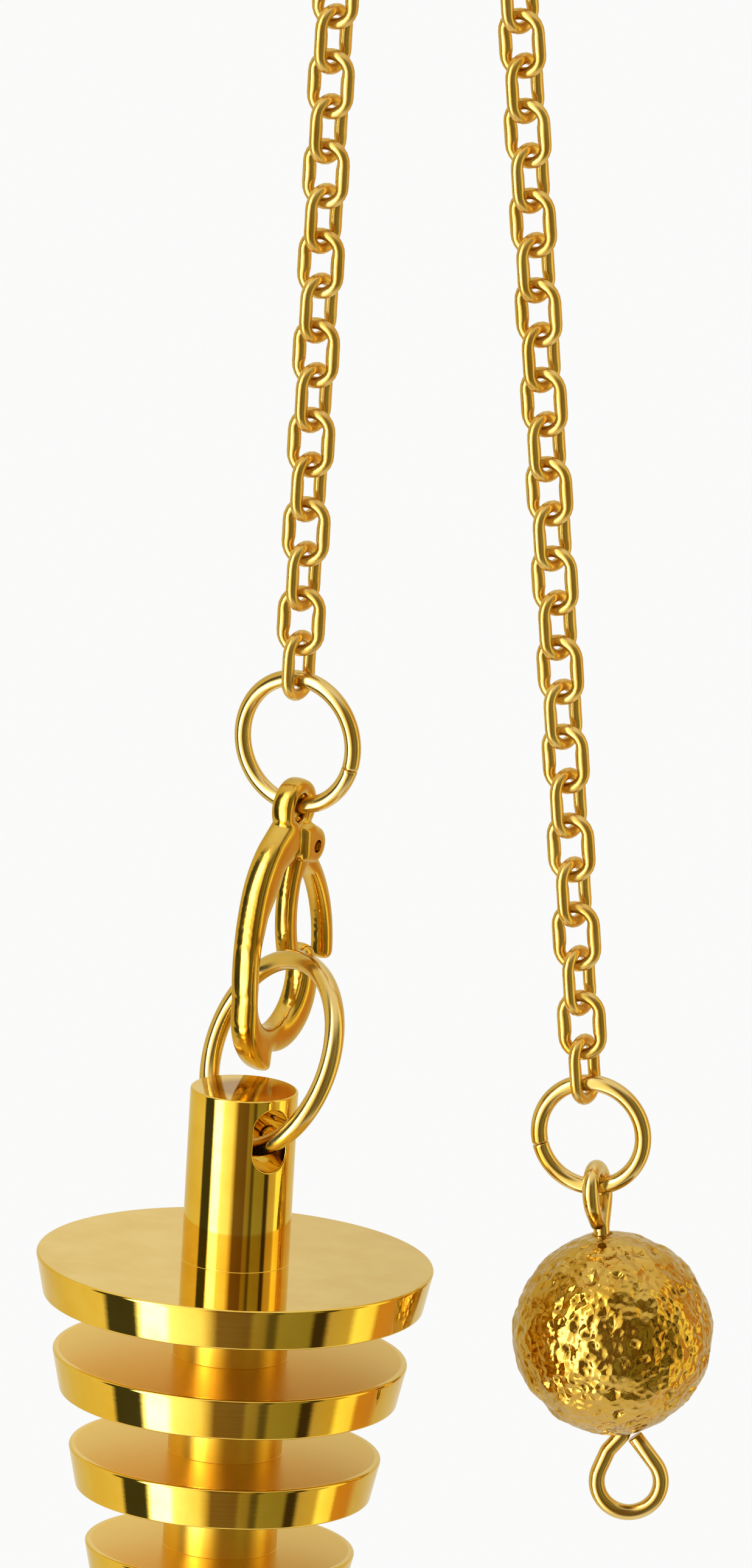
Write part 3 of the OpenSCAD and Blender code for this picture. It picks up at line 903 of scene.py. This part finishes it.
BALL_TURNS = 400
BALL_ROWS = 210
BORE_FADE = 6
SWELL_SIZE = 1.1
SWELL_DEPTH = 0.26
PIT_SIZE = 0.78
PIT_DEPTH = 0.24
PIT_SPREAD = 0.33
PIT_LEAST = 0.35
PIT_SHUFFLE = 7.3
GRAIN_PER_MM = 3.1
GRAIN_DEPTH = 0.07


def pitted_ball():
    """A drilled ball whose surface is broken up by swellings and small sharp pits, which fade
    towards the two ends of its bore."""
    turns, rows = BALL_TURNS, BALL_ROWS
    bore_r = STEM_D / 2 + BORE_GAP
    pole = math.asin(bore_r / (BALL_D / 2))
    points, faces = [], []
    for i in range(rows + 1):
        polar = pole + (math.pi - 2 * pole) * i / rows
        for k in range(turns):
            a = 2 * math.pi * k / turns
            out = math.sin(polar)
            way = Vector((out * math.cos(a), out * math.sin(a), math.cos(polar)))
            fade = min(1, BORE_FADE * min(i, rows - i) / rows)
            points.append(way * (BALL_D / 2 - fade * pit_depth(way * BALL_D / 2)))
    rings = [list(range(i * turns, (i + 1) * turns)) for i in range(rows + 1)]
    for i in range(rows):
        faces += band(rings[i], rings[i + 1])
    faces += band(rings[-1], rings[0])
    return piece("pitted_ball", points, faces, BALL_PLACE)


def pit_depth(at):
    """Depth of the pitted surface below the ball's own sphere, in millimetres."""
    swell = 0.5 + 0.5 * noise.noise(at / SWELL_SIZE)
    near, spots = noise.voronoi(at / PIT_SIZE)
    deep = PIT_LEAST + (1 - PIT_LEAST) * noise.cell(spots[0] * PIT_SHUFFLE)
    pit = math.exp(-((near[0] / PIT_SPREAD) ** 2)) * abs(deep)
    grain = 0.5 + 0.5 * noise.noise(at * GRAIN_PER_MM)
    return max(0.0, SWELL_DEPTH * swell + PIT_DEPTH * pit + GRAIN_DEPTH * grain)


# Materials
def add(tree, kind, sockets=None, **settings):
    """A node with its settings, and its sockets set to a value or joined to another's output."""
    made = tree.nodes.new(kind)
    for name, value in settings.items():
        setattr(made, name, value)
    for socket, value in (sockets or {}).items():
        if isinstance(value, bpy.types.NodeSocket):
            tree.links.new(value, made.inputs[socket])
        else:
            made.inputs[socket].default_value = value
    return made


def effect(name, inputs, outputs):
    """An empty shader node group with named inputs and outputs: (tree, inlet, outlet)."""
    tree = bpy.data.node_groups.new(name, "ShaderNodeTree")
    for label, kind, value in inputs:
        socket = tree.interface.new_socket(label, in_out="INPUT", socket_type=kind)
        if value is not None:
            socket.default_value = value
    for label, kind in outputs:
        tree.interface.new_socket(label, in_out="OUTPUT", socket_type=kind)
    return tree, tree.nodes.new("NodeGroupInput"), tree.nodes.new("NodeGroupOutput")


def plating_tone():
    """Yellow plating whose tone is a little richer in some places than in others."""
    tree, inlet, outlet = effect(
        "plating tone",
        [("Position", "NodeSocketVector", None), ("Pale", "NodeSocketColor", (1, 0.7, 0.2, 1)),
         ("Deep", "NodeSocketColor", (0.9, 0.5, 0.1, 1)), ("Scale", "NodeSocketFloat", 300.0)],
        [("Color", "NodeSocketColor")],
    )
    cloud = add(tree, "ShaderNodeTexNoise", {
        "Vector": inlet.outputs["Position"], "Scale": inlet.outputs["Scale"], "Detail": 4.0,
        "Roughness": 0.6,
    })
    share = add(tree, "ShaderNodeMapRange", {
        "Value": cloud.outputs["Fac"], "From Min": 0.35, "From Max": 0.7,
    })
    mix = add(tree, "ShaderNodeMix", {
        0: share.outputs["Result"], 6: inlet.outputs["Pale"], 7: inlet.outputs["Deep"],
    }, data_type="RGBA")
    tree.links.new(mix.outputs[2], outlet.inputs["Color"])
    return tree


def handling_haze():
    """Roughness of polished metal that has been touched: clear, with soft hazy patches."""
    tree, inlet, outlet = effect(
        "handling haze",
        [("Position", "NodeSocketVector", None), ("Clear", "NodeSocketFloat", 0.05),
         ("Hazy", "NodeSocketFloat", 0.15), ("Scale", "NodeSocketFloat", 400.0)],
        [("Roughness", "NodeSocketFloat")],
    )
    cloud = add(tree, "ShaderNodeTexNoise", {
        "Vector": inlet.outputs["Position"], "Scale": inlet.outputs["Scale"], "Detail": 5.0,
        "Roughness": 0.65,
    })
    share = add(tree, "ShaderNodeMapRange", {
        "Value": cloud.outputs["Fac"], "From Min": 0.45, "From Max": 0.75,
        "To Min": inlet.outputs["Clear"], "To Max": inlet.outputs["Hazy"],
    })
    tree.links.new(share.outputs["Result"], outlet.inputs["Roughness"])
    return tree


def fine_grain():
    """Height of fine marks: noise stretched along one axis, for draw lines and polish marks."""
    tree, inlet, outlet = effect(
        "fine grain",
        [("Position", "NodeSocketVector", None), ("Stretch", "NodeSocketVector", None),
         ("Scale", "NodeSocketFloat", 2000.0)],
        [("Height", "NodeSocketFloat")],
    )
    pulled = add(tree, "ShaderNodeVectorMath", {
        0: inlet.outputs["Position"], 1: inlet.outputs["Stretch"],
    }, operation="MULTIPLY")
    marks = add(tree, "ShaderNodeTexNoise", {
        "Vector": pulled.outputs[0], "Scale": inlet.outputs["Scale"], "Detail": 3.0,
        "Roughness": 0.6,
    })
    tree.links.new(marks.outputs["Fac"], outlet.inputs["Height"])
    return tree


TONE_SCALE = 350.0
HAZE_SCALE = 500.0


def gold(name, effects, tones, clear, hazy, stretch, grain_scale, grain_depth, relief=None):
    """Polished yellow plating in a pale and a deep tone. relief adds nodes of its own: it gets
    the bump, the colour and the roughness so far and gives back its own three."""
    material = bpy.data.materials.new(name)
    material.use_nodes = True
    tree = material.node_tree
    tree.nodes.clear()
    position = add(tree, "ShaderNodeTexCoord").outputs["Object"]
    tone = add(tree, "ShaderNodeGroup", node_tree=effects["tone"])
    haze = add(tree, "ShaderNodeGroup", node_tree=effects["haze"])
    grain = add(tree, "ShaderNodeGroup", node_tree=effects["grain"])
    for group in (tone, haze, grain):
        tree.links.new(position, group.inputs["Position"])
    tone.inputs["Pale"].default_value = (*tones[0], 1)
    tone.inputs["Deep"].default_value = (*tones[1], 1)
    tone.inputs["Scale"].default_value = TONE_SCALE
    haze.inputs["Clear"].default_value = clear
    haze.inputs["Hazy"].default_value = hazy
    haze.inputs["Scale"].default_value = HAZE_SCALE
    grain.inputs["Stretch"].default_value = stretch
    grain.inputs["Scale"].default_value = grain_scale
    bump = add(tree, "ShaderNodeBump", {
        "Height": grain.outputs["Height"], "Distance": grain_depth, "Strength": 1.0,
    })
    normal = bump.outputs["Normal"]
    color = tone.outputs["Color"]
    rough = haze.outputs["Roughness"]
    if relief is not None:
        normal, color, rough = relief(tree, position, normal, color, rough)
    surface = add(tree, "ShaderNodeBsdfPrincipled", {
        "Base Color": color, "Roughness": rough, "Normal": normal, "Metallic": 1.0,
    })
    out = add(tree, "ShaderNodeOutputMaterial")
    tree.links.new(surface.outputs["BSDF"], out.inputs["Surface"])
    return material


LATHE_SCALE = 6000.0
LATHE_DEPTH = 0.0000014
GROOVE_ROUGHNESS = 0.33
GROOVE_GOLD = (0.95, 0.64, 0.1)
# Painted shade: a tint multiplied into the weight's colour towards one side of it.
SIDE_SHADE_TINT = (0.84, 0.82, 0.7)
# Painted reflection: the dark tone of the clasp mirrored in the middle of the post's top.
CLASP_REFLECTION_TONE = (0.45, 0.24, 0.05)


def turned_and_painted_light(tree, position, normal, color, rough):
    """Fine rings left by the lathe, a satin skin in the grooves, where no polishing wheel
    reaches, painted shade that darkens the weight towards one side, and a painted
    reflection of the clasp, a dark spot in the middle of the post's top. All follow the
    place on the weight."""
    own = add(tree, "ShaderNodeVectorMath", {
        0: position, 1: tuple(DISC_AT * MM),
    }, operation="SUBTRACT")
    split = add(tree, "ShaderNodeSeparateXYZ", {0: own.outputs[0]})
    flat = add(tree, "ShaderNodeCombineXYZ", {0: split.outputs[0], 1: split.outputs[1]})
    reach = add(tree, "ShaderNodeVectorMath", {0: flat.outputs[0]}, operation="LENGTH")
    rings = add(tree, "ShaderNodeCombineXYZ", {0: reach.outputs["Value"], 2: split.outputs[2]})
    marks = add(tree, "ShaderNodeTexNoise", {
        "Vector": rings.outputs[0], "Scale": LATHE_SCALE, "Detail": 3.0, "Roughness": 0.7,
    })
    bump = add(tree, "ShaderNodeBump", {
        "Height": marks.outputs["Fac"], "Distance": LATHE_DEPTH, "Normal": normal, "Strength": 1.0,
    })
    slope = DISC_D / 2 / CONE_HEIGHT
    cone = add(tree, "ShaderNodeMath", {
        0: split.outputs[2], 1: slope, 2: (DISC_D / 2 - 0.2) * MM,
    }, operation="MULTIPLY_ADD")
    inside = add(tree, "ShaderNodeMath", {
        0: cone.outputs[0], 1: reach.outputs["Value"],
    }, operation="SUBTRACT")
    deep = add(tree, "ShaderNodeMapRange", {
        "Value": inside.outputs[0], "From Min": 0.0, "From Max": 0.15 * MM,
    })
    below = add(tree, "ShaderNodeMapRange", {
        "Value": split.outputs[2], "From Min": -0.6 * MM, "From Max": -1.2 * MM,
    })
    groove = add(tree, "ShaderNodeMath", {
        0: deep.outputs["Result"], 1: below.outputs["Result"],
    }, operation="MULTIPLY")
    satin = add(tree, "ShaderNodeMix", {0: groove.outputs[0], 2: rough, 3: GROOVE_ROUGHNESS})
    tint = add(tree, "ShaderNodeMix", {
        0: groove.outputs[0], 6: color, 7: (*GROOVE_GOLD, 1),
    }, data_type="RGBA")
    # Painted shade: the colour is darkened more and more towards +X, on one side of the weight.
    side = add(tree, "ShaderNodeMapRange", {
        "Value": split.outputs[0], "From Min": -4.0 * MM, "From Max": 7.0 * MM,
    })
    side_shaded = add(tree, "ShaderNodeMix", {
        0: side.outputs["Result"], 6: tint.outputs[2], 7: (*SIDE_SHADE_TINT, 1),
    }, data_type="RGBA", blend_type="MULTIPLY")
    # Painted reflection: a dark spot in the middle of the post's top stands in for the clasp mirrored in
    # it.
    top = add(tree, "ShaderNodeMapRange", {
        "Value": split.outputs[2], "From Min": (POST_HEIGHT - 0.12) * MM,
        "From Max": (POST_HEIGHT - 0.04) * MM,
    })
    middle = add(tree, "ShaderNodeMapRange", {
        "Value": reach.outputs["Value"], "From Min": 2.0 * MM, "From Max": 1.2 * MM,
    })
    reflection_spot = add(tree, "ShaderNodeMath", {
        0: top.outputs["Result"], 1: middle.outputs["Result"],
    }, operation="MULTIPLY")
    with_clasp_reflection = add(tree, "ShaderNodeMix", {
        0: reflection_spot.outputs[0], 6: side_shaded.outputs[2], 7: (*CLASP_REFLECTION_TONE, 1),
    }, data_type="RGBA")
    return bump.outputs["Normal"], with_clasp_reflection.outputs[2], satin.outputs[0]


FROST_SCALE = 2600.0
FROST_DEPTH = 0.00006
# Painted shade in the depth of the ball's pits.
PIT_SHADE_GOLD = (0.2, 0.11, 0.02)


def frost_and_pit_shade(tree, position, normal, color, rough):
    """Small sharp grains over the ball, and painted shade that darkens the depth of its pits."""
    cells = add(tree, "ShaderNodeTexVoronoi", {"Vector": position, "Scale": FROST_SCALE})
    bump = add(tree, "ShaderNodeBump", {
        "Height": cells.outputs["Distance"], "Distance": FROST_DEPTH, "Normal": normal,
        "Strength": 1.0,
    })
    # Painted shade: where the surface curves inward, its colour turns dark brown.
    pit_shade_mask = add(tree, "ShaderNodeMapRange", {
        "Value": add(tree, "ShaderNodeNewGeometry").outputs["Pointiness"],
        "From Min": 0.49, "From Max": 0.44,
    })
    pit_shaded = add(tree, "ShaderNodeMix", {
        0: pit_shade_mask.outputs["Result"], 6: color, 7: (*PIT_SHADE_GOLD, 1),
    }, data_type="RGBA")
    return bump.outputs["Normal"], pit_shaded.outputs[2], rough


# Studio
LIGHT_BANDS = [
    # turn seen from above, brightness, red, green, blue
    (-180, 0.8, 1.0, 0.95, 0.8),
    (-150, 0.7, 1.0, 0.9, 0.6),
    (-125, 0.75, 1.0, 0.85, 0.35),
    (-90, 0.85, 1.0, 0.85, 0.4),
    (-86, 0.06, 0.9, 0.9, 0.6),
    (-66, 0.06, 0.9, 0.9, 0.6),
    (-63, 1.4, 1.0, 1.0, 0.8),
    (-60, 6.0, 1.0, 1.0, 1.0),
    (-45, 6.0, 1.0, 1.0, 1.0),
    (-40, 1.6, 1.0, 1.0, 0.8),
    (-20, 1.3, 1.0, 0.95, 0.55),
    (-14, 0.8, 1.0, 0.8, 0.35),
    (-9, 0.2, 1.0, 0.6, 0.2),
    (12, 0.16, 1.0, 0.6, 0.22),
    (15, 0.34, 0.95, 0.75, 0.25),
    (22, 0.3, 0.95, 0.75, 0.25),
    (25, 0.1, 1.0, 0.8, 0.3),
    (29, 0.1, 1.0, 0.8, 0.3),
    (32, 0.34, 0.95, 0.85, 0.3),
    (53, 0.32, 0.95, 0.85, 0.3),
    (56, 0.05, 1.0, 0.7, 0.4),
    (63, 0.05, 1.0, 0.7, 0.4),
    (67, 0.6, 1.0, 0.8, 0.4),
    (82, 0.7, 1.0, 0.8, 0.3),
    (87, 1.5, 1.0, 0.95, 0.4),
    (100, 1.3, 1.0, 0.9, 0.3),
    (104, 0.75, 1.0, 0.5, 0.1),
    (120, 0.7, 1.0, 0.5, 0.15),
    (128, 0.75, 1.0, 0.85, 0.5),
    (180, 0.8, 1.0, 0.95, 0.8),
]
BRIGHTEST = 6.0
ROOF_LIGHT = (1.0, 0.97, 0.91)
FLOOR_AT = -0.27
FLOOR_SIZE = 12.0


def studio_light():
    """Soft light from all round. Polished metal shows the studio's pale cards and dark gaps,
    which stand upright round the pendulum; what is lit sees one even white."""
    world = bpy.data.worlds.new("studio")
    bpy.context.scene.world = world
    world.use_nodes = True
    tree = world.node_tree
    tree.nodes.clear()
    way = add(tree, "ShaderNodeTexCoord").outputs["Generated"]
    split = add(tree, "ShaderNodeSeparateXYZ", {0: way})
    front = add(tree, "ShaderNodeMath", {0: split.outputs[1], 1: -1.0}, operation="MULTIPLY")
    turn = add(tree, "ShaderNodeMath", {0: split.outputs[0], 1: front.outputs[0]}, operation="ARCTAN2")
    share = add(tree, "ShaderNodeMapRange", {
        "Value": turn.outputs[0], "From Min": -math.pi, "From Max": math.pi,
    })
    cards = add(tree, "ShaderNodeValToRGB", {0: share.outputs["Result"]})
    ramp = cards.color_ramp
    for i, (angle, bright, *tint) in enumerate(LIGHT_BANDS):
        place = (angle + 180) / 360
        stop = ramp.elements[i] if i < 2 else ramp.elements.new(place)
        stop.position = place
        stop.color = [bright / BRIGHTEST * c for c in tint] + [1]
    steep = add(tree, "ShaderNodeMath", {0: split.outputs[2]}, operation="ABSOLUTE")
    roof = add(tree, "ShaderNodeMapRange", {
        "Value": steep.outputs[0], "From Min": 0.6, "From Max": 0.95,
    }, interpolation_type="SMOOTHSTEP")
    open_top = add(tree, "ShaderNodeMix", {
        0: roof.outputs["Result"], 6: cards.outputs["Color"], 7: (*(c / BRIGHTEST for c in ROOF_LIGHT), 1),
    }, data_type="RGBA")
    shown = add(tree, "ShaderNodeBackground", {0: open_top.outputs[2], 1: BRIGHTEST})
    even = add(tree, "ShaderNodeBackground", {0: (1, 1, 1, 1), 1: 1.0})
    ray = add(tree, "ShaderNodeLightPath")
    pick = add(tree, "ShaderNodeMixShader", {
        0: ray.outputs["Is Glossy Ray"], 1: even.outputs[0], 2: shown.outputs[0],
    })
    out = add(tree, "ShaderNodeOutputWorld")
    tree.links.new(pick.outputs[0], out.inputs["Surface"])


def pale_floor():
    half = FLOOR_SIZE / 2
    mesh = bpy.data.meshes.new("floor")
    corners = [(-half, -half), (half, -half), (half, half), (-half, half)]
    mesh.from_pydata([(x, y, FLOOR_AT) for x, y in corners], [], [(0, 1, 2, 3)])
    floor = bpy.data.objects.new("floor", mesh)
    bpy.context.scene.collection.objects.link(floor)
    floor.visible_glossy = False
    material = bpy.data.materials.new("pale floor")
    material.use_nodes = True
    surface = material.node_tree.nodes["Principled BSDF"]
    surface.inputs["Base Color"].default_value = (0.96, 0.96, 0.955, 1)
    surface.inputs["Roughness"].default_value = 0.9
    surface.inputs["Specular IOR Level"].default_value = 0.0
    mesh.materials.append(material)


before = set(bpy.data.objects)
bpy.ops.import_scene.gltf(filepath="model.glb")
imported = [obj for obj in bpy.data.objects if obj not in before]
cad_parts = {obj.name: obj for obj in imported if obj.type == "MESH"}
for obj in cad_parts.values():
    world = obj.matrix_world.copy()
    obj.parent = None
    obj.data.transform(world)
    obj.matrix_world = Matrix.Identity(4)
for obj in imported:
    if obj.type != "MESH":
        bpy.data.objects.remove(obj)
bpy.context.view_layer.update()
photo_camera()

effects = {"tone": plating_tone(), "haze": handling_haze(), "grain": fine_grain()}
chain_gold = gold(
    "chain gold", effects, [(0.8, 0.57, 0.18), (0.72, 0.44, 0.09)], 0.26, 0.36,
    (1, 1, 1), 3000.0, 0.000005,
)
ring_gold = gold(
    "ring gold", effects, [(0.78, 0.6, 0.25), (0.72, 0.48, 0.13)], 0.16, 0.26,
    (1, 1, 1), 2500.0, 0.000002,
)
clasp_gold = gold(
    "clasp gold", effects, [(0.75, 0.51, 0.1), (0.63, 0.36, 0.045)], 0.14, 0.26,
    (1, 1, 0.3), 1800.0, 0.000004,
)
weight_gold = gold(
    "weight gold", effects, [(0.95, 0.68, 0.15), (0.89, 0.58, 0.08)], 0.035, 0.09,
    (1, 1, 1), 1500.0, 0.000001, turned_and_painted_light,
)
ball_gold = gold(
    "ball gold", effects, [(0.64, 0.42, 0.09), (0.54, 0.3, 0.035)], 0.12, 0.26,
    (1, 1, 1), 5000.0, 0.000008, frost_and_pit_shade,
)

held = "hanging_chain"
carried(left_strand(), held, "chain_gold", chain_gold, "chain_left")
carried(right_strand(), held, "chain_gold", chain_gold, "chain_right")
carried(clasp_jump_ring(), held, "ring_gold", ring_gold, "clasp_ring")
carried(weight_jump_ring(), held, "ring_gold", ring_gold, "weight_ring")
carried(ball_jump_ring(), held, "ring_gold", ring_gold, "ball_ring")
carried(pin_wire(), held, "ring_gold", ring_gold, "ball_pin")
carried(pitted_ball(), held, "ball_gold", ball_gold, "ball_bead")
carried(clasp_casting(), held, "clasp_gold", clasp_gold, "clasp_body")
carried(rivet(), held, "clasp_gold", clasp_gold, "clasp_rivet")
carried(clasp_gate(), "lever", "clasp_gold", clasp_gold, "clasp_lever")
carried(turned_weight(), "weight", "weight_gold", weight_gold, "weight")

studio_light()
pale_floor()
bpy.context.scene.view_settings.view_transform = "Standard"
